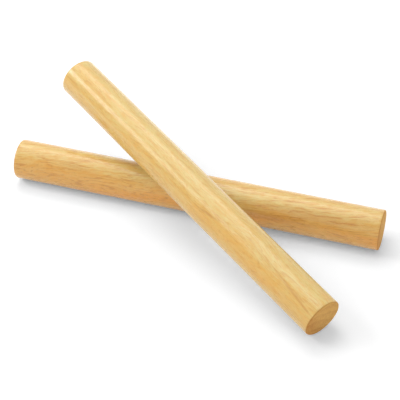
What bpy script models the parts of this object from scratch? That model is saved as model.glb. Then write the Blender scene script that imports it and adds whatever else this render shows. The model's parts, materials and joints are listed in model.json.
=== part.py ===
"""A pair of claves: two turned hardwood rods that are struck together as a percussion instrument.

The lower clave lies on the table. The upper one leans across it like a seesaw that has tipped: it bears
on the lower clave at one point, and the rim of its near end stands on the table.

Metres, +Z up. X runs along the lower clave, and the upper clave's near end points to +X and -Y.
The origin is on the table, under the middle of the pair's box.
"""

import math

import bmesh
import bpy
from mathutils import Vector

# Each clave is a length of 7/8 in dowel, sanded and lacquered, and cut 8 in long.
CLAVE_LENGTH = 0.203
CLAVE_DIAMETER = 0.0215
RIM_RADIUS = 0.0008  # the sanded round where the body meets an end face

# How the two lie on each other.
CROSSING_ANGLE = math.radians(33.3)  # between the two rods, seen from above
LOWER_BEARING = 0.0131  # from the lower clave's middle to the crossing, towards its -X end
UPPER_BEARING = 0.0203  # from the upper clave's middle to the crossing, towards its raised end
BEARING_GAP = 0.0003  # kept between the two meshes where the claves touch

# Facets of the turned surfaces.
TURN_STEPS = 96
RIM_STEPS = 4

# Base colours (linear), roughness and metallic value of the two pieces of lacquered wood.
UPPER_WOOD = ((0.80, 0.53, 0.21, 1.0), 0.38, 0.0)
LOWER_WOOD = ((0.72, 0.43, 0.15, 1.0), 0.38, 0.0)

RADIUS = CLAVE_DIAMETER / 2
ALONG = Vector((1.0, 0.0, 0.0))
SIDEWAYS = Vector((0.0, 1.0, 0.0))
UP = Vector((0.0, 0.0, 1.0))


def clear_scene():
    """Remove the startup objects."""
    for leftover in list(bpy.data.objects):
        bpy.data.objects.remove(leftover, do_unlink=True)


def lacquered_wood(name, colour, roughness, metallic):
    """A Principled material with one clave's colour and sheen."""
    material = bpy.data.materials.new(name)
    material.use_nodes = True
    shader = material.node_tree.nodes["Principled BSDF"]
    shader.inputs["Base Color"].default_value = colour
    shader.inputs["Roughness"].default_value = roughness
    shader.inputs["Metallic"].default_value = metallic
    material.diffuse_color = colour
    return material


# ---- The turned rod ----


def rod_outline():
    """Half of a rod's long section, as (along, out) points from the -X end face to the +X one.

    A quarter round of RIM_RADIUS joins each flat end face to the straight body.
    """
    round_centre = (CLAVE_LENGTH / 2 - RIM_RADIUS, RADIUS - RIM_RADIUS)
    angles = [math.pi / 2 * step / RIM_STEPS for step in range(RIM_STEPS + 1)]
    right = [
        (round_centre[0] + RIM_RADIUS * math.sin(angle), round_centre[1] + RIM_RADIUS * math.cos(angle))
        for angle in angles
    ]
    left = [(-along, out) for along, out in reversed(right)]
    return left + right


def turned_rod(name):
    """Mesh of one clave: the outline spun about X, its two open ends closed by flat faces."""
    shape = bmesh.new()
    outline = [shape.verts.new((along, 0.0, out)) for along, out in rod_outline()]
    edges = [shape.edges.new(pair) for pair in zip(outline, outline[1:])]
    bmesh.ops.spin(
        shape,
        geom=outline + edges,
        cent=(0.0, 0.0, 0.0),
        axis=ALONG,
        angle=math.tau,
        steps=TURN_STEPS,
        use_merge=True,
    )
    end_edges = [edge for edge in shape.edges if edge.is_boundary]
    bmesh.ops.holes_fill(shape, edges=end_edges, sides=0)
    bmesh.ops.recalc_face_normals(shape, faces=shape.faces)
    mesh = bpy.data.meshes.new(name)
    shape.to_mesh(mesh)
    shape.free()
    mesh.shade_smooth()
    mesh.set_sharp_from_angle(angle=math.radians(40))
    return mesh


# ---- How the pair lies ----


def upper_axis(lean):
    """Direction of the upper clave, from its raised end to its near end, when it drops by lean."""
    return Vector(
        (
            math.cos(lean) * math.cos(CROSSING_ANGLE),
            -math.cos(lean) * math.sin(CROSSING_ANGLE),
            -math.sin(lean),
        )
    )


def upper_middle(lean):
    """Middle of the upper clave, from the table point under the lower clave's middle.

    The shortest line between the two rods' axes stands on the lower clave at the crossing, square to
    both rods. It is one diameter long, plus the gap. The upper clave's middle lies UPPER_BEARING past
    its far end, towards the near end.
    """
    axis = upper_axis(lean)
    square_to_both = axis.cross(ALONG).normalized()
    crossing = Vector((-LOWER_BEARING, 0.0, RADIUS))
    return crossing + square_to_both * (CLAVE_DIAMETER + BEARING_GAP) + axis * UPPER_BEARING


def reach(middle, axis, direction):
    """How far a rod reaches along a unit direction, as a coordinate along it.

    Each end of a rod is a disc with a round edge: a disc of RADIUS - RIM_RADIUS, whose centre stands
    RIM_RADIUS inside the end, grown by RIM_RADIUS all round.
    """
    slope = axis.dot(direction)
    disc = (RADIUS - RIM_RADIUS) * math.sqrt(max(0.0, 1.0 - slope * slope))
    return middle.dot(direction) + (CLAVE_LENGTH / 2 - RIM_RADIUS) * abs(slope) + disc + RIM_RADIUS


def height_of_near_rim(lean):
    """Height above the table of the lowest point of the upper clave."""
    return -reach(upper_middle(lean), upper_axis(lean), -UP)


def find_lean():
    """The drop angle at which the upper clave's near rim just stands on the table, by bisection."""
    level, steep = 0.0, math.radians(60)
    for _ in range(60):
        middle = (level + steep) / 2
        if height_of_near_rim(middle) > 0.0:
            level = middle
        else:
            steep = middle
    return level


def middle_of_box(rods, direction):
    """Coordinate, along direction, of the middle of the box round all the rods."""
    high = max(reach(middle, axis, direction) for middle, axis in rods)
    low = min(-reach(middle, axis, -direction) for middle, axis in rods)
    return (high + low) / 2


# ---- Placing the pieces ----


def empty(name, location, parent=None):
    """A helper that carries pieces and isn't one itself."""
    helper = bpy.data.objects.new(name, None)
    helper.empty_display_size = CLAVE_DIAMETER / 2
    bpy.context.scene.collection.objects.link(helper)
    helper.parent = parent
    helper.location = location
    return helper


def clave(name, material, parent, location, rotation=(0.0, 0.0, 0.0)):
    """One clave as a named object, with its own mesh and material."""
    rod = bpy.data.objects.new(name, turned_rod(name))
    rod.data.materials.append(material)
    bpy.context.scene.collection.objects.link(rod)
    rod.parent = parent
    rod.location = location
    rod.rotation_euler = rotation
    return rod


def build():
    """The pair as it lies on the table."""
    clear_scene()
    lean = find_lean()
    lower_middle = UP * RADIUS
    rods = [(lower_middle, ALONG), (upper_middle(lean), upper_axis(lean))]
    box_middle = ALONG * middle_of_box(rods, ALONG) + SIDEWAYS * middle_of_box(rods, SIDEWAYS)

    pair = empty("pair_of_claves", -box_middle)
    clave("lower_clave", lacquered_wood("lower_wood", *LOWER_WOOD), pair, lower_middle)

    # The upper clave hangs on a helper at the point where it bears on the lower one, turned so that
    # its X is the rod's axis. It lifts off straight up from there.
    bearing = upper_middle(lean) - upper_axis(lean) * UPPER_BEARING
    seat = empty("upper_clave_seat", bearing, pair)
    seat.rotation_euler = (0.0, lean, -CROSSING_ANGLE)
    clave("upper_clave", lacquered_wood("upper_wood", *UPPER_WOOD), seat, ALONG * UPPER_BEARING)


build()
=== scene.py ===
"""The looks of a pair of claves: two turned hardwood rods under clear satin lacquer, lying crossed.

Metres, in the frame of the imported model: X along the lower clave, +Z up, the table at z = 0.
"""

import math

import bpy
import numpy as np
from mathutils import Matrix, Vector
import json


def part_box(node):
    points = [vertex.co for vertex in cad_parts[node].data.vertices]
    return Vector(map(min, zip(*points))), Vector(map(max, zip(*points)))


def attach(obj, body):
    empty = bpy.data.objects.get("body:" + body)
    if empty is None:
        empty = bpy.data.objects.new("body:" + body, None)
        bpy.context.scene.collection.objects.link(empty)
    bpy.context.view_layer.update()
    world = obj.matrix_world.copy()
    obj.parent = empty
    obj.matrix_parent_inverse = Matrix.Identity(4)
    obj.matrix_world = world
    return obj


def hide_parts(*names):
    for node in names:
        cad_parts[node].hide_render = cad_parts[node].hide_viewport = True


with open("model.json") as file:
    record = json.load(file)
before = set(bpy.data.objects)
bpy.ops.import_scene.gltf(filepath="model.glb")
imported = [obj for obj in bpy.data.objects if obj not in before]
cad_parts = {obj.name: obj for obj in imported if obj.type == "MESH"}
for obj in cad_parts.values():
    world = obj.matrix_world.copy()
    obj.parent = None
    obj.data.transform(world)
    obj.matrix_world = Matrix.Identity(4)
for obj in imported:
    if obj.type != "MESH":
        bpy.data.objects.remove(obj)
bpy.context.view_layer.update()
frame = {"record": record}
scene = bpy.context.scene
scene.view_settings.view_transform = "Standard"

MM = 0.001


# ---- The camera ----
# The photograph looks down on the pair through a long lens, with the lower clave turned a little away.

LENS = 124.1
SENSOR = 36.0
CAMERA_AZIMUTH = math.radians(17.38)
CAMERA_ELEVATION = math.radians(39.75)
CAMERA_DISTANCE = 752.4 * MM
AIM_ALONG = -0.12 * MM  # the point the camera looks at, on the table, from the lower clave's middle
AIM_BEHIND = 7.55 * MM

lower_low, lower_high = (Vector(corner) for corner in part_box("lower_clave"))
lower_middle = (lower_low + lower_high) / 2

aim = Vector((lower_middle.x + AIM_ALONG, lower_middle.y + AIM_BEHIND, 0.0))
to_camera = Vector(
    (
        math.sin(CAMERA_AZIMUTH) * math.cos(CAMERA_ELEVATION),
        -math.cos(CAMERA_AZIMUTH) * math.cos(CAMERA_ELEVATION),
        math.sin(CAMERA_ELEVATION),
    )
)
camera = bpy.data.objects.new("camera", bpy.data.cameras.new("camera"))
scene.collection.objects.link(camera)
camera.data.lens = LENS
camera.data.sensor_width = SENSOR
camera.location = aim + to_camera * CAMERA_DISTANCE
camera.rotation_euler = (-to_camera).to_track_quat("-Z", "Y").to_euler()
scene.camera = camera


# ---- The table ----
# A seamless sheet of white card. The photograph is exposed so that the open sheet burns out to plain
# white, and only the soft, plain grey shadows of the claves stay on it.

SHEET_SIZE = 8.0
SHEET_WHITE = 0.92  # how white the card is where it lights the claves
SHEET_SEEN = 1.0  # how white it is where it shows as the background
SHEET_HAZE = 0.115  # the haze of the bright exposure, which lightens the shadows that show
NEAR_SHEET = 0.09  # from this distance the haze thickens, and from FAR_SHEET on it is all white
FAR_SHEET = 0.45

sheet_mesh = bpy.data.meshes.new("white_sheet")
half_sheet = SHEET_SIZE / 2
sheet_mesh.from_pydata(
    [
        (-half_sheet, -half_sheet, 0.0),
        (half_sheet, -half_sheet, 0.0),
        (half_sheet, half_sheet, 0.0),
        (-half_sheet, half_sheet, 0.0),
    ],
    [],
    [(0, 1, 2, 3)],
)
white_sheet = bpy.data.objects.new("white_sheet", sheet_mesh)
scene.collection.objects.link(white_sheet)


def give(tree, socket, value):
    """Link an output to an input, or set the input to a plain value."""
    if isinstance(value, bpy.types.NodeSocket):
        tree.links.new(value, socket)
    else:
        socket.default_value = value


def add_node(tree, kind, inputs=None, **settings):
    """A node of that kind. inputs maps an input's name or number to a value or to another's output."""
    node = tree.nodes.new(kind)
    for setting, value in settings.items():
        setattr(node, setting, value)
    for key, value in (inputs or {}).items():
        give(tree, node.inputs[key], value)
    return node


def maths(tree, operation, *values, clamp=False):
    """The result of a Math node on outputs or numbers."""
    node = add_node(tree, "ShaderNodeMath", dict(enumerate(values)), operation=operation, use_clamp=clamp)
    return node.outputs["Value"]


def shown(tree):
    """1 for the rays that show the background: from the camera, or mirrored or let through by a piece."""
    path = add_node(tree, "ShaderNodeLightPath").outputs
    passed_on = maths(tree, "MAXIMUM", path["Is Glossy Ray"], path["Is Transmission Ray"])
    return maths(tree, "MAXIMUM", path["Is Camera Ray"], passed_on)


def card_material():
    """Matt white card: diffuse, with its own look where it shows as the background."""
    material = bpy.data.materials.new("white_card")
    material.use_nodes = True
    tree = material.node_tree
    tree.nodes.remove(tree.nodes["Principled BSDF"])
    looked_at = shown(tree)
    levels = {"Value": looked_at, "To Min": SHEET_WHITE, "To Max": SHEET_SEEN}
    shade = add_node(tree, "ShaderNodeMapRange", levels).outputs["Result"]
    card = add_node(tree, "ShaderNodeBsdfDiffuse", {"Color": shade})
    here = add_node(tree, "ShaderNodeTexCoord").outputs["Object"]
    distance = add_node(tree, "ShaderNodeVectorMath", {"Vector": here}, operation="LENGTH").outputs["Value"]
    limits = {"Value": distance, "From Min": NEAR_SHEET, "From Max": FAR_SHEET, "To Min": SHEET_HAZE}
    glow = add_node(tree, "ShaderNodeMapRange", limits, interpolation_type="SMOOTHSTEP").outputs["Result"]
    haze = add_node(tree, "ShaderNodeEmission", {"Strength": maths(tree, "MULTIPLY", glow, looked_at)})
    both = add_node(tree, "ShaderNodeAddShader", {0: card.outputs[0], 1: haze.outputs[0]})
    tree.links.new(both.outputs[0], tree.nodes["Material Output"].inputs["Surface"])
    return material


white_sheet.data.materials.append(card_material())


# ---- The studio light ----
# White walls all round fill the shadows. A big soft box hangs above the claves, a touch to their left,
# with a brighter row of lamps along its back edge, and a pale wall stands behind. A long strip at the
# left, brightest in its middle, runs with the upper clave and draws the thin bright line down it.

ROOM_LIGHT = 0.52
ROOM_SEEN = 1.0
LAMPS_AIM = Vector((0.0, 0.0, 0.02))

world = bpy.data.worlds.new("studio")
scene.world = world
world.use_nodes = True
room = world.node_tree
room_level = add_node(
    room,
    "ShaderNodeMix",
    {"Factor": shown(room), "A": ROOM_LIGHT, "B": ROOM_SEEN},
    data_type="FLOAT",
)
room.nodes["Background"].inputs["Color"].default_value = (1.0, 1.0, 1.0, 1.0)
room.links.new(room_level.outputs["Result"], room.nodes["Background"].inputs["Strength"])


def soft_box(name, away, along, distance, width, height, brightness):
    """A rectangular lamp that faces the claves from the direction away, its width running along.

    Its energy follows its area, so brightness is that of its face whatever its size.
    """
    lamp = bpy.data.lights.new(name, "AREA")
    lamp.shape = "RECTANGLE"
    lamp.size = width
    lamp.size_y = height
    lamp.energy = brightness * math.pi * width * height
    holder = bpy.data.objects.new(name, lamp)
    scene.collection.objects.link(holder)
    back = Vector(away).normalized()
    across = (Vector(along) - back * back.dot(Vector(along))).normalized()
    facing = Matrix((across, back.cross(across), back)).transposed()
    holder.matrix_world = Matrix.Translation(LAMPS_AIM + back * distance) @ facing.to_4x4()


SIDEWAYS = (1.0, 0.0, 0.0)
LAMPS_AWAY = 1.2
WALL_AWAY = 1.4
STRIP = Vector((-0.78, -0.07, 0.62)).normalized()
STRIP_RUN = Vector((0.82, -0.54, -0.17))  # along the upper clave
STRIP_HEIGHT = 0.36
BACK_PART = STRIP - STRIP_RUN * 0.21
MIDDLE_PART = STRIP + STRIP_RUN * 0.10
FRONT_PART = STRIP + STRIP_RUN * 0.31
soft_box("overhead_box", (-0.25, 0.25, 0.935), SIDEWAYS, LAMPS_AWAY, 0.76, 1.14, brightness=1.62)
soft_box("overhead_lamps", (-0.25, 0.45, 0.86), SIDEWAYS, LAMPS_AWAY, 0.76, 0.26, brightness=1.62)
soft_box("back_wall", (0.0, 0.85, 0.50), SIDEWAYS, WALL_AWAY, 1.80, 0.90, brightness=0.16)
soft_box("left_strip_back", BACK_PART, STRIP_RUN, LAMPS_AWAY, 0.50, STRIP_HEIGHT, brightness=1.9)
soft_box("left_strip_middle", MIDDLE_PART, STRIP_RUN, LAMPS_AWAY, 0.25, STRIP_HEIGHT, brightness=5.5)
soft_box("left_strip_front", FRONT_PART, STRIP_RUN, LAMPS_AWAY, 0.25, STRIP_HEIGHT, brightness=2.9)


# ---- The lower clave ----
# A hardwood dowel about the thickness of a thumb, turned, sanded round at its ends and given clear
# satin lacquer. It lies loose on the table, and it is the deeper in colour of the two.

RIM_RADIUS = 0.8 * MM
WAVINESS = 0.04 * MM  # how far the hand sanding strays from a true cylinder, always inwards
FACE_RINGS = np.array([0.0, 0.2, 0.4, 0.6, 0.8, 0.93, 0.99])  # as shares of the flat face's radius
RIM_STEPS = 6
ROWS_ALONG = 150
STEPS_ROUND = 144


def rod_profile(length, radius):
    """Half of the rod's long section as arrays (along, out), from one face's middle to the other's.

    Flat face rings, a quarter circle of RIM_RADIUS, then the straight body, and the same mirrored.
    """
    face_out = (radius - RIM_RADIUS) * FACE_RINGS
    face_along = np.full(face_out.size, length / 2)
    turn = np.linspace(0.0, math.pi / 2, RIM_STEPS + 1)
    rim_out = radius - RIM_RADIUS + RIM_RADIUS * np.sin(turn)
    rim_along = length / 2 - RIM_RADIUS + RIM_RADIUS * np.cos(turn)
    body_along = np.linspace(length / 2 - RIM_RADIUS, 0.0, ROWS_ALONG // 2)[1:-1]
    body_out = np.full(body_along.size, radius)
    along = np.concatenate([face_along, rim_along, body_along])
    out = np.concatenate([face_out, rim_out, body_out])
    return np.concatenate([-along, along[::-1]]), np.concatenate([out, out[::-1]])


def sanding(along, angle, seed):
    """Depth of the hand-sanded waviness, from 0 to WAVINESS.

    A sum of five long sine waves, each with its own length along the rod and number of lobes round it.
    """
    phases = np.random.default_rng(seed).uniform(0.0, 2 * math.pi, 5)
    lengths = np.array([61.0, 37.0, 23.0, 90.0, 14.0]) * MM
    lobes = np.array([2, 3, 1, 4, 5])
    weights = np.array([0.28, 0.22, 0.2, 0.2, 0.1])
    total = np.zeros(np.broadcast(along, angle).shape)
    for phase, wave, lobe, weight in zip(phases, lengths, lobes, weights):
        total += weight * np.sin(2 * math.pi * along / wave + lobe * angle + phase)
    return WAVINESS * (1.0 - total) / 2


def rod_piece(name, middle, turn, length, radius, seed):
    """One clave as a closed surface of revolution about the first column of turn, through middle.

    A point is middle + turn @ (along, out * cos(angle), out * sin(angle)), on a grid of the profile's
    stations and STEPS_ROUND angles. The middle of each end face is one vertex with a fan of triangles.
    """
    along, out = rod_profile(length, radius)
    angle = np.linspace(0.0, 2 * math.pi, STEPS_ROUND, endpoint=False)
    ring_along = along[1:-1, None]
    ring_out = out[1:-1, None] - sanding(ring_along, angle[None, :], seed) * (out[1:-1, None] / radius)
    rings = np.stack(
        [
            np.broadcast_to(ring_along, ring_out.shape),
            ring_out * np.cos(angle),
            ring_out * np.sin(angle),
        ],
        axis=-1,
    )
    ends = np.array([[along[0], 0.0, 0.0], [along[-1], 0.0, 0.0]])
    local = np.concatenate([rings.reshape(-1, 3), ends])
    placed = local @ np.array(turn).T + np.array(middle)

    rows = ring_out.shape[0]
    here = np.arange(rows * STEPS_ROUND).reshape(rows, STEPS_ROUND)
    beside = np.roll(here, -1, axis=1)
    quads = np.stack([here[:-1], here[1:], beside[1:], beside[:-1]], axis=-1).reshape(-1, 4)
    first, last = rows * STEPS_ROUND, rows * STEPS_ROUND + 1
    fan_in = np.stack([np.full(STEPS_ROUND, first), here[0], beside[0]], axis=-1)
    fan_out = np.stack([np.full(STEPS_ROUND, last), beside[-1], here[-1]], axis=-1)
    mesh = bpy.data.meshes.new(name)
    mesh.from_pydata(placed.tolist(), [], quads.tolist() + fan_in.tolist() + fan_out.tolist())
    mesh.shade_smooth()
    mesh.update()
    piece = bpy.data.objects.new(name, mesh)
    scene.collection.objects.link(piece)
    return piece


def vector_maths(tree, operation, *values):
    """The result of a Vector Math node on outputs or vectors."""
    node = add_node(tree, "ShaderNodeVectorMath", dict(enumerate(values)), operation=operation)
    return node.outputs["Value"] if operation in ("LENGTH", "DOT_PRODUCT") else node.outputs["Vector"]


def scaled(tree, vector, factor):
    """A vector times a number or an output."""
    node = add_node(tree, "ShaderNodeVectorMath", {"Vector": vector, "Scale": factor}, operation="SCALE")
    return node.outputs["Vector"]


def ramp(tree, value, low, high, to_low=0.0, to_high=1.0):
    """value eased from the range low..high to to_low..to_high, and held at the ends."""
    limits = {"Value": value, "From Min": low, "From Max": high, "To Min": to_low, "To Max": to_high}
    return add_node(tree, "ShaderNodeMapRange", limits, interpolation_type="SMOOTHSTEP").outputs["Result"]


def tint(tree, factor, first, second):
    """Two colours mixed by a factor."""
    return add_node(tree, "ShaderNodeMix", {0: factor, 6: first, 7: second}, data_type="RGBA").outputs[2]


def noise(tree, place, stretch, detail=2.0, roughness=0.5):
    """Soft noise at a place in millimetres, with stretch waves to the millimetre in each direction."""
    waves = {
        "Vector": vector_maths(tree, "MULTIPLY", place, stretch),
        "Scale": 1.0,
        "Detail": detail,
        "Roughness": roughness,
    }
    return add_node(tree, "ShaderNodeTexNoise", waves).outputs


def new_group(name, inputs, outputs):
    """A shader node group with named inputs (name, kind, value) and outputs (name, kind)."""
    tree = bpy.data.node_groups.new(name, "ShaderNodeTree")
    for label, kind, value in inputs:
        socket = tree.interface.new_socket(name=label, in_out="INPUT", socket_type="NodeSocket" + kind)
        socket.default_value = value
    for label, kind in outputs:
        tree.interface.new_socket(name=label, in_out="OUTPUT", socket_type="NodeSocket" + kind)
    return tree, tree.nodes.new("NodeGroupInput").outputs, tree.nodes.new("NodeGroupOutput").inputs


FRAY = 1.1  # how far noise frays a streak's edge, in half-sizes of the streak


def streak_group():
    """Shader group: one streak or patch of darker wood, as a soft-edged mask.

    The mask is 1 in the middle of an ellipsoid at Centre with half-sizes Size, and falls to 0 at its
    surface, which noise drawn out along the fibres frays. Drift is how far it slants per millimetre.
    """
    tree, given, result = new_group(
        "darker_streak",
        [
            ("Place", "Vector", (0.0, 0.0, 0.0)),
            ("Centre", "Vector", (0.0, 0.0, 10.0)),
            ("Size", "Vector", (10.0, 1.0, 1.0)),
            ("Drift", "Vector", (0.0, 0.0, 0.0)),
            ("Strength", "Float", 1.0),
        ],
        [("Mask", "Float")],
    )
    reach = vector_maths(tree, "SUBTRACT", given["Place"], given["Centre"])
    along = vector_maths(tree, "DOT_PRODUCT", reach, (1.0, 0.0, 0.0))
    straight = vector_maths(tree, "SUBTRACT", reach, scaled(tree, given["Drift"], along))
    distance = vector_maths(tree, "LENGTH", vector_maths(tree, "DIVIDE", straight, given["Size"]))
    fray = maths(tree, "SUBTRACT", noise(tree, given["Place"], (0.16, 1.1, 1.1), detail=3.0)["Fac"], 0.5)
    frayed = maths(tree, "MULTIPLY_ADD", fray, FRAY, distance)
    mask = ramp(tree, frayed, 0.1, 1.0, 1.0, 0.0)
    tree.links.new(maths(tree, "MULTIPLY", mask, given["Strength"]), result["Mask"])
    return tree


def hardwood_group():
    """Shader group: a pale, fine-grained hardwood, as a solid that the rod is turned out of.

    Place is in millimetres in the rod's own frame, X along the rod. The rings are cylinders round the
    tree's heart, which lies off to one side at Heart. Rings, bands and fibres swing aside together round
    a hidden knot, and the fibres also slant across the bands by Slant. The colour runs from Pale to Deep
    with the grain, and to Warm in patches and towards the side that Deepens points to, the rod's near
    flank and underside, where it is partly darker inner wood and partly painted shade. Veins, pores and
    Streaks take the colour Stain. The end faces cut the same solid across, from End to Stain, and are
    painted darker towards the underside and along the rim, as shade.
    """
    tree, given, result = new_group(
        "lacquered_hardwood",
        [
            ("Place", "Vector", (0.0, 0.0, 0.0)),
            ("Half Length", "Float", 100.0),
            ("Heart", "Vector", (0.0, 30.0, -40.0)),
            ("Ring Width", "Float", 4.0),
            ("Slant", "Vector", (0.0, 0.0, 0.0)),
            ("Knot At", "Float", 0.0),
            ("Knot Reach", "Float", 20.0),
            ("Knot Swing", "Vector", (0.0, 0.0, 0.0)),
            ("Shift", "Vector", (0.0, 0.0, 0.0)),
            ("Deepens", "Vector", (0.0, 0.0, 0.0)),
            ("Heartwood", "Float", 0.3),
            ("Pale", "Color", (0.8, 0.55, 0.25, 1.0)),
            ("Deep", "Color", (0.65, 0.36, 0.1, 1.0)),
            ("Warm", "Color", (0.7, 0.33, 0.08, 1.0)),
            ("Veins", "Float", 0.3),
            ("Stain", "Color", (0.6, 0.3, 0.07, 1.0)),
            ("End", "Color", (0.4, 0.2, 0.07, 1.0)),
            ("Warmth", "Float", 0.3),
            ("Streaks", "Float", 0.0),
        ],
        [("Color", "Color"), ("Roughness", "Float"), ("Lacquer", "Float"), ("Height", "Float")],
    )

    # The place in the board, swung aside round the knot and gently bent by long noise, then slanted.
    along = vector_maths(tree, "DOT_PRODUCT", given["Place"], (1.0, 0.0, 0.0))
    from_knot = maths(tree, "SUBTRACT", along, given["Knot At"])
    from_knot = maths(tree, "POWER", maths(tree, "DIVIDE", from_knot, given["Knot Reach"]), 2.0)
    swing = maths(tree, "EXPONENT", maths(tree, "MULTIPLY", from_knot, -1.0))
    sway = vector_maths(tree, "ADD", given["Place"], scaled(tree, given["Knot Swing"], swing))
    board = vector_maths(tree, "ADD", given["Place"], given["Shift"])
    drift = noise(tree, board, (0.02, 0.06, 0.06), detail=1.0)["Color"]
    bend = vector_maths(tree, "SUBTRACT", drift, (0.5, 0.5, 0.5))
    sway = vector_maths(tree, "ADD", sway, vector_maths(tree, "MULTIPLY", bend, (0.0, 7.0, 7.0)))
    band = vector_maths(tree, "ADD", sway, given["Shift"])
    fibre = vector_maths(tree, "ADD", band, scaled(tree, given["Slant"], along))

    # Rings: distance from the tree's heart, counted in ring widths. Late wood is the darker part.
    across = vector_maths(tree, "SUBTRACT", sway, given["Heart"])
    across = vector_maths(tree, "MULTIPLY", across, (0.05, 1.0, 1.0))
    rings = maths(tree, "DIVIDE", vector_maths(tree, "LENGTH", across), given["Ring Width"])
    rings = maths(tree, "ADD", rings, noise(tree, band, (0.02, 0.2, 0.2))["Fac"])
    ring_phase = maths(tree, "FRACT", rings)
    ring_edge = ramp(tree, ring_phase, 0.95, 1.0, 1.0, 0.0)
    late_wood = maths(tree, "MULTIPLY", ramp(tree, ring_phase, 0.3, 0.95), ring_edge)

    # Bands and patches along the board. Dashes, flecks and mottle along the fibres.
    bands = noise(tree, band, (0.02, 0.26, 0.26), detail=2.0)["Fac"]
    patches = noise(tree, band, (0.02, 0.10, 0.10), detail=2.0)["Fac"]
    dashes = noise(tree, fibre, (0.14, 1.0, 1.0), detail=2.0, roughness=0.6)["Fac"]
    flecks = noise(tree, fibre, (0.28, 2.1, 2.1), detail=2.0, roughness=0.6)["Fac"]
    mottle = noise(tree, fibre, (0.26, 0.6, 0.6), detail=2.0, roughness=0.6)["Fac"]

    # Veins: thin dark lines where a noise passes its middle value, broken up by the dashes.
    veins = noise(tree, fibre, (0.025, 0.6, 0.6), detail=1.0)["Fac"]
    off_vein = maths(tree, "ABSOLUTE", maths(tree, "SUBTRACT", veins, 0.5))
    vein = ramp(tree, off_vein, 0.008, 0.045, 1.0, 0.0)
    vein = maths(tree, "MULTIPLY", vein, ramp(tree, dashes, 0.32, 0.54))

    # Pores: short dark dashes along the fibres, dots on the end faces, larger in the darker bands.
    cells = add_node(
        tree,
        "ShaderNodeTexVoronoi",
        {"Vector": vector_maths(tree, "MULTIPLY", fibre, (0.17, 1.3, 1.3)), "Scale": 1.0},
    )
    pore_size = ramp(tree, bands, 0.35, 0.7, 0.12, 0.27)
    pore = ramp(tree, maths(tree, "SUBTRACT", pore_size, cells.outputs["Distance"]), -0.06, 0.10)

    # The colour of the sides: from pale to deep, then the warm parts, which take in painted shade towards
    # the near flank and underside, streaks, veins and pores.
    depth = maths(tree, "MULTIPLY", ramp(tree, bands, 0.32, 0.70), 0.32)
    depth = maths(tree, "MULTIPLY_ADD", late_wood, 0.14, depth)
    depth = maths(tree, "MULTIPLY_ADD", ramp(tree, dashes, 0.42, 0.72), 0.50, depth)
    depth = maths(tree, "MULTIPLY_ADD", ramp(tree, flecks, 0.38, 0.75), 0.36, depth)
    depth = maths(tree, "MULTIPLY_ADD", ramp(tree, mottle, 0.36, 0.68), 0.36, depth, clamp=True)
    colour = tint(tree, depth, given["Pale"], given["Deep"])
    # Warmer and darker towards the near flank and underside: partly inner wood, partly painted shade.
    heartwood_and_shade = ramp(tree, vector_maths(tree, "DOT_PRODUCT", sway, given["Deepens"]), 0.0, 1.0)
    warm = maths(tree, "MULTIPLY", ramp(tree, patches, 0.45, 0.72), given["Warmth"])
    warm = maths(tree, "MULTIPLY_ADD", heartwood_and_shade, given["Heartwood"], warm)
    colour = tint(tree, warm, colour, given["Warm"])
    colour = tint(tree, given["Streaks"], colour, given["Stain"])
    colour = tint(tree, maths(tree, "MULTIPLY", vein, given["Veins"]), colour, given["Stain"])
    colour = tint(tree, maths(tree, "MULTIPLY", pore, 0.32), colour, given["Stain"])

    # The end faces and their sanded rims: open fibre ends, darker with the grain where the lacquer has
    # soaked in, and with painted shade towards the underside and along the rim.
    beyond = maths(tree, "SUBTRACT", maths(tree, "ABSOLUTE", along), given["Half Length"])
    end_grain = ramp(tree, beyond, -0.75, -0.12)
    end_mottle = noise(tree, fibre, (0.1, 0.8, 0.8), detail=3.0, roughness=0.6)["Fac"]
    off_face = ramp(tree, beyond, -0.3, -0.03, 1.0, 0.0)
    # A darker ring on the rounded rim: painted shade.
    rim = maths(tree, "MULTIPLY", ramp(tree, beyond, -0.7, -0.4), off_face)
    # The end faces darken towards the underside and along the rim as painted shade, and with late wood,
    # pores and mottle as real grain.
    soaked_and_shaded = maths(tree, "MULTIPLY_ADD", heartwood_and_shade, 0.50, maths(tree, "MULTIPLY", rim, 0.5))
    soaked_and_shaded = maths(tree, "MULTIPLY_ADD", late_wood, 0.26, soaked_and_shaded)
    soaked_and_shaded = maths(tree, "MULTIPLY_ADD", pore, 0.35, soaked_and_shaded)
    soaked_and_shaded = maths(tree, "MULTIPLY_ADD", ramp(tree, end_mottle, 0.3, 0.7), 0.36, soaked_and_shaded, clamp=True)
    colour = tint(tree, end_grain, colour, tint(tree, soaked_and_shaded, given["End"], given["Stain"]))

    # The finish: satin on the sides, matt and bare on the end faces, rippled, and sunk in the pores.
    roughness = maths(tree, "MULTIPLY_ADD", mottle, 0.16, 0.20)
    roughness = maths(tree, "MULTIPLY_ADD", end_grain, 0.55, roughness)
    lacquer = maths(tree, "MULTIPLY_ADD", end_grain, -0.22, 0.22)
    ripple = noise(tree, band, (0.2, 0.42, 0.42), detail=1.0, roughness=0.4)["Fac"]
    height = maths(tree, "MULTIPLY_ADD", pore, -0.06, ripple)
    height = maths(tree, "MULTIPLY_ADD", dashes, 0.06, height)
    tree.links.new(colour, result["Color"])
    tree.links.new(roughness, result["Roughness"])
    tree.links.new(lacquer, result["Lacquer"])
    tree.links.new(height, result["Height"])
    return tree


streak = streak_group()
hardwood = hardwood_group()
COAT_ROUGHNESS = 0.12
LACQUER_IOR = 1.5
GRAIN_DEPTH = 0.07 * MM
HEARTWOOD_AND_SHADE_SIDE = (0.0, -0.097, -0.056)  # from the rod's axis, the colour deepens towards the near flank and underside, partly inner wood and partly painted shade
THROWN_BACK = (0.66, 0.66, 0.66, 1.0)  # the wood where it lights the card, whose shadows stay plain grey


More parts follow.
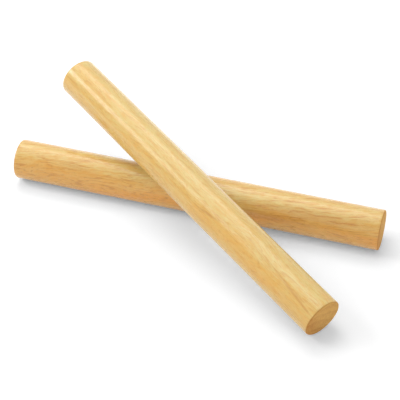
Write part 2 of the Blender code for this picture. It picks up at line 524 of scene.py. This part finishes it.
def lacquered_wood(name, middle, turn, length, radius, streaks, **values):
    """Material of one clave: the hardwood solid in the rod's own frame, under a clear satin coat.

    streaks lists the darker streaks as (along, round, half length, half width, slant, strength), the
    lengths in millimetres. round is measured round the rod from its top line, towards the camera's side.
    values go to the inputs of the hardwood group.
    """
    material = bpy.data.materials.new(name)
    material.use_nodes = True
    tree = material.node_tree
    here = add_node(tree, "ShaderNodeTexCoord").outputs["Object"]
    pose = {"Vector": here, "Location": middle, "Rotation": turn.to_euler()}
    own = add_node(tree, "ShaderNodeMapping", pose, vector_type="TEXTURE")
    place = scaled(tree, own.outputs["Vector"], 1 / MM)

    masks = 0.0
    for along, round_, half_length, half_width, slant, strength in streaks:
        angle = round_ * MM / radius
        out = Vector((0.0, -math.sin(angle), math.cos(angle)))
        aside = Vector((0.0, -math.cos(angle), -math.sin(angle)))
        marked = {
            "Place": place,
            "Centre": Vector((along, 0.0, 0.0)) + out * (radius / MM),
            "Size": (half_length, half_width, half_width),
            "Drift": aside * slant,
            "Strength": strength,
        }
        mask = tree.nodes.new("ShaderNodeGroup")
        mask.node_tree = streak
        for key, value in marked.items():
            give(tree, mask.inputs[key], value)
        masks = maths(tree, "ADD", mask.outputs["Mask"], masks)

    wood = tree.nodes.new("ShaderNodeGroup")
    wood.node_tree = hardwood
    given = {"Place": place, "Half Length": length / 2 / MM, "Streaks": masks}
    given.update({key.replace("_", " "): value for key, value in values.items()})
    for key, value in given.items():
        give(tree, wood.inputs[key], value)
    bounced = add_node(tree, "ShaderNodeLightPath").outputs["Is Diffuse Ray"]
    balanced = tint(tree, bounced, wood.outputs["Color"], THROWN_BACK)
    grain = {"Strength": 1.0, "Distance": GRAIN_DEPTH, "Height": wood.outputs["Height"]}
    finish = {
        "Base Color": balanced,
        "Roughness": wood.outputs["Roughness"],
        "Coat Weight": wood.outputs["Lacquer"],
        "Normal": add_node(tree, "ShaderNodeBump", grain).outputs["Normal"],
        "Coat Roughness": COAT_ROUGHNESS,
        "Coat IOR": LACQUER_IOR,
        "IOR": LACQUER_IOR,
    }
    for key, value in finish.items():
        give(tree, tree.nodes["Principled BSDF"].inputs[key], value)
    return material


clave_length = lower_high.x - lower_low.x
clave_radius = (lower_high.z - lower_low.z) / 2
level_turn = Matrix.Identity(3)

lower_rod = rod_piece("lower_rod", lower_middle, level_turn, clave_length, clave_radius, seed=3)
lower_rod.data.materials.append(
    lacquered_wood(
        "lower_lacquered_wood",
        lower_middle,
        level_turn,
        clave_length,
        clave_radius,
        [
            (-38.0, -1.0, 15.0, 3.2, 0.0, 0.38),  # two brown patches on the far half
            (-66.0, 8.0, 16.0, 2.6, 0.12, 0.30),
            (84.0, 9.6, 12.0, 0.5, -0.08, 0.8),  # two thin dark lines on the near half
            (56.0, 11.8, 14.0, 0.5, -0.08, 0.6),
            (42.0, 14.0, 34.0, 3.5, 0.0, 0.5),  # the deeper flank of the near half
            (66.0, 9.0, 44.0, 4.5, 0.0, 0.30),
        ],
        Heart=(20.0, 24.0, -52.0),
        Ring_Width=5.0,
        Slant=(0.0, -0.12, -0.02),
        Shift=(40.0, 7.0, 3.0),
        # the colour deepens towards the near flank and underside, partly as painted shade
        Deepens=HEARTWOOD_AND_SHADE_SIDE,
        Heartwood=0.50,
        Pale=(0.89, 0.68, 0.26, 1.0),
        Deep=(0.80, 0.46, 0.105, 1.0),
        Warm=(0.96, 0.39, 0.050, 1.0),
        Veins=0.62,
        Stain=(0.64, 0.27, 0.055, 1.0),
        End=(0.85, 0.48, 0.108, 1.0),
        Warmth=0.35,
    )
)
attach(lower_rod, "lower_clave")
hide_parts("lower_clave")


# ---- The upper clave ----
# The same rod, cut from a paler board and finished the same way. It leans loose across the lower clave,
# with the rim of its near end on the table.

mounts = {mount["name"]: mount for mount in frame["record"]["mounts"]}
raised_end = Vector(mounts["upper_raised_end"]["pos_m"])
near_end = Vector(mounts["upper_near_end"]["pos_m"])
upper_middle = (raised_end + near_end) / 2
upper_axis = (near_end - raised_end).normalized()
upper_side = Vector((0.0, 0.0, 1.0)).cross(upper_axis).normalized()
upper_turn = Matrix((upper_axis, upper_side, upper_axis.cross(upper_side))).transposed()

upper_rod = rod_piece("upper_rod", upper_middle, upper_turn, clave_length, clave_radius, seed=8)
upper_rod.data.materials.append(
    lacquered_wood(
        "upper_lacquered_wood",
        upper_middle,
        upper_turn,
        clave_length,
        clave_radius,
        [
            (22.0, 9.5, 11.0, 1.0, -0.14, 0.6),  # three dark lines round the hidden knot
            (88.0, 8.0, 18.0, 1.0, 0.12, 0.52),
            (70.0, 5.5, 15.0, 0.5, 0.10, 0.38),
        ],
        Heart=(50.0, -14.0, -46.0),
        Ring_Width=5.0,
        Knot_At=50.0,
        Knot_Reach=13.0,
        Knot_Swing=(0.0, -2.4, -0.4),
        # the colour deepens towards the near flank and underside, partly as painted shade
        Deepens=HEARTWOOD_AND_SHADE_SIDE,
        Heartwood=0.28,
        Pale=(0.87, 0.68, 0.265, 1.0),
        Deep=(0.82, 0.51, 0.13, 1.0),
        Warm=(0.93, 0.45, 0.070, 1.0),
        Veins=0.28,
        Stain=(0.60, 0.25, 0.045, 1.0),
        End=(0.86, 0.49, 0.126, 1.0),
        Warmth=0.25,
    )
)
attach(upper_rod, "upper_clave")
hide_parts("upper_clave")
